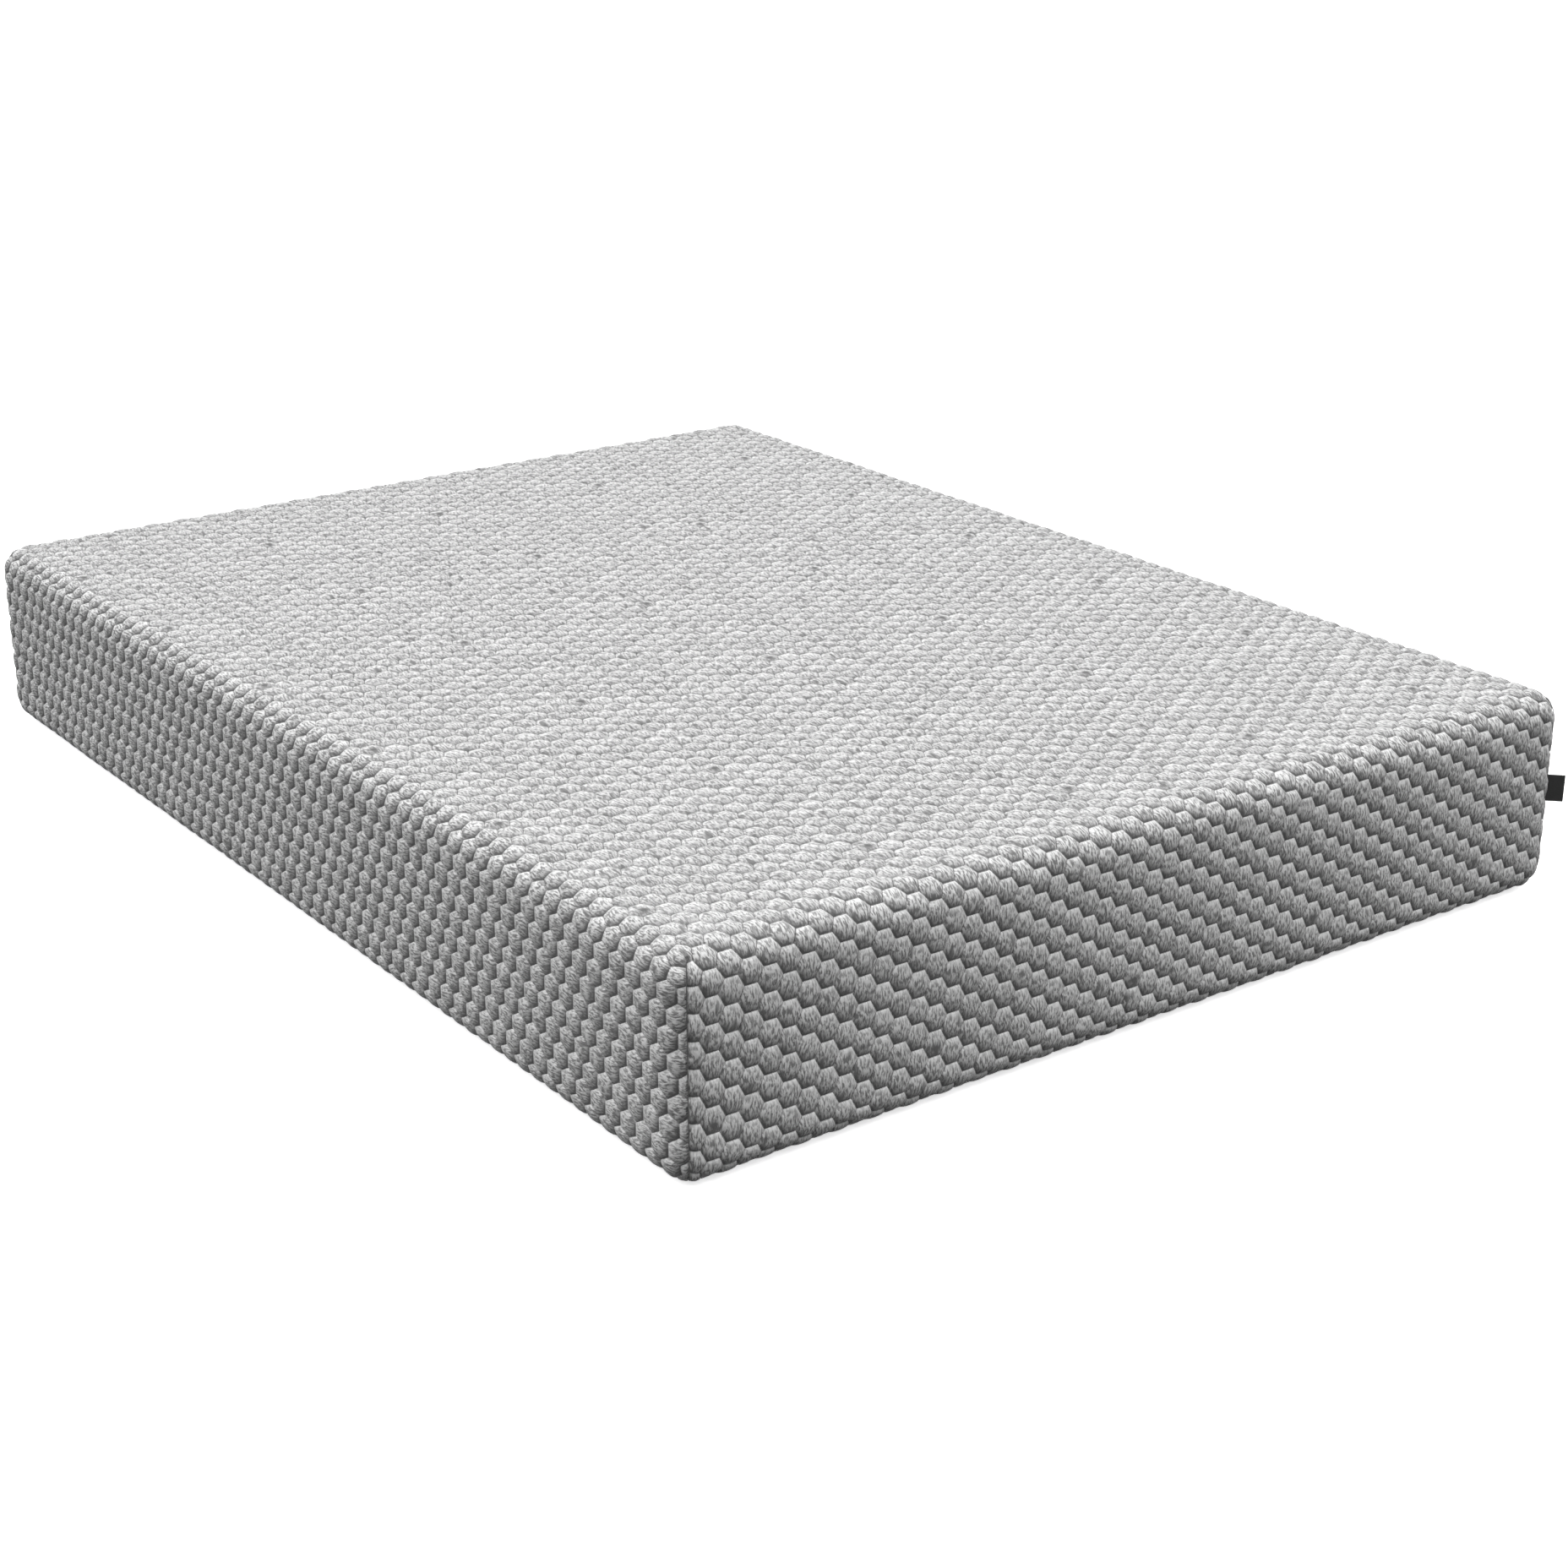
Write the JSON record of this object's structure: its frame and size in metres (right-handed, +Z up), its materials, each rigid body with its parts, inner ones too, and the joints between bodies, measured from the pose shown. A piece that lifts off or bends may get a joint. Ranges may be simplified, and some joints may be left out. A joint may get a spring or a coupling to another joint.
{
  "type": "memory foam mattress",
  "caption": "Queen-size memory foam mattress in a puffed grey knit cover, with a layered foam core and a zip-off base panel.",
  "frame": {"origin": "middle of the flat underside that the mattress rests on", "axes": "+X across the width, +Y along the length from the foot end to the head end, +Z up out of the sleeping surface"},
  "size_m": [1.5276, 2.0356, 0.305],
  "materials": {
    "knit": "heathered light grey puffed double knit",
    "thread": "spun polyester sewing thread",
    "base_fabric": "dark grey woven polyester with a grip print",
    "label_fabric": "white nonwoven, blank",
    "tag_fabric": "black satin woven ribbon, blank",
    "zip_tape": "woven polyester tape",
    "zip_coil": "extruded nylon",
    "zip_metal": "tumbled zinc",
    "sock_knit": "off-white flame-retardant knit",
    "memory_foam": "slow-recovery polyurethane foam, open cell",
    "transition_foam": "soft polyurethane foam, open cell",
    "support_foam": "firm polyurethane foam, open cell"
  },
  "bodies": {
    "mattress": {"knit_cover": "knit", "corner_seam_foot_left": "thread", "corner_seam_foot_right": "thread", "corner_seam_head_left": "thread", "corner_seam_head_right": "thread", "base_panel": "base_fabric", "law_label": "label_fabric", "zip_tape_cover": "zip_tape", "zip_tape_base": "zip_tape", "zip_coil_cover": "zip_coil", "zip_coil_base": "zip_coil", "zip_end_stops": "zip_metal", "fire_sock": "sock_knit", "comfort_foam": "memory_foam", "transition_foam": "transition_foam", "support_core": "support_foam"},
    "slider": {"zip_slider": "zip_metal"},
    "pull": {"zip_pull": "zip_metal"},
    "tag": {"side_tag": "tag_fabric"}
  },
  "joints": [
    {"name": "zip_travel", "type": "slide", "parent": "mattress", "child": "slider", "axis": [1, 0, 0], "range_m": [0, 1.38]},
    {"name": "pull_swing", "type": "hinge", "parent": "slider", "child": "pull", "pos_m": [-0.6695, 0.98458, 0.00194], "axis": [0, 0.9537, 0.3007], "range_deg": [0, 180]},
    {"name": "tag_flex", "type": "hinge", "parent": "mattress", "child": "tag", "pos_m": [0.74903, -1.00303, 0.15625], "axis": [0, 0, 1], "range_deg": [-70, 70], "stiffness_Nm_per_rad": 0.002}
  ]
}
